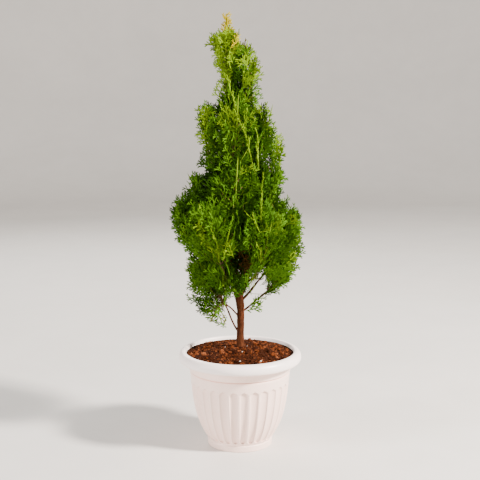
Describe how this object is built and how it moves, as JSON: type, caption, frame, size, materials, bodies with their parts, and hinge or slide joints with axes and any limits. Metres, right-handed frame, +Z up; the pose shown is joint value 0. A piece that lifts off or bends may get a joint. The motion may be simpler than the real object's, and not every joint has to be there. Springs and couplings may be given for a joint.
{
  "type": "potted thuja",
  "caption": "Young upright thuja with flat fans of scale-leaved sprays on a bare-footed stem, standing in a fluted round pot with a rolled rim.",
  "frame": {"origin": "centre of the pot's flat underside", "axes": "+Z up along the pot's axis, -Y towards the fuller front of the tree, +X to the right seen from the front"},
  "size_m": [0.2162, 0.202, 0.703],
  "materials": {
    "white_plastic": "satin white plastic",
    "brown_soil": "loose dry potting soil",
    "brown_bark": "thin stringy brown bark",
    "green_scale_leaves": "green scale leaves, yellower at the tips"
  },
  "bodies": {
    "root": {"bough_back_left": "brown_bark", "bough_back_right": "brown_bark", "bough_fork_right": "brown_bark", "bough_front_left": "brown_bark", "bough_front_right": "brown_bark", "bough_left": "brown_bark", "bough_left_inner": "brown_bark", "bough_left_low": "brown_bark", "bough_right_low": "brown_bark", "bough_right_side": "brown_bark", "foliage_back_high": "green_scale_leaves", "foliage_back_left": "green_scale_leaves", "foliage_back_middle": "green_scale_leaves", "foliage_back_right": "green_scale_leaves", "foliage_front_high": "green_scale_leaves", "foliage_front_left": "green_scale_leaves", "foliage_front_middle": "green_scale_leaves", "foliage_front_right": "green_scale_leaves", "foliage_leader": "green_scale_leaves", "foliage_left": "green_scale_leaves", "foliage_left_drooping": "green_scale_leaves", "foliage_left_high": "green_scale_leaves", "foliage_left_low": "green_scale_leaves", "foliage_left_middle": "green_scale_leaves", "foliage_right": "green_scale_leaves", "foliage_right_high": "green_scale_leaves", "foliage_right_low": "green_scale_leaves", "foliage_right_plume": "green_scale_leaves", "foliage_right_top": "green_scale_leaves", "pot": "white_plastic", "soil": "brown_soil", "trunk": "brown_bark"}
  },
  "joints": []
}
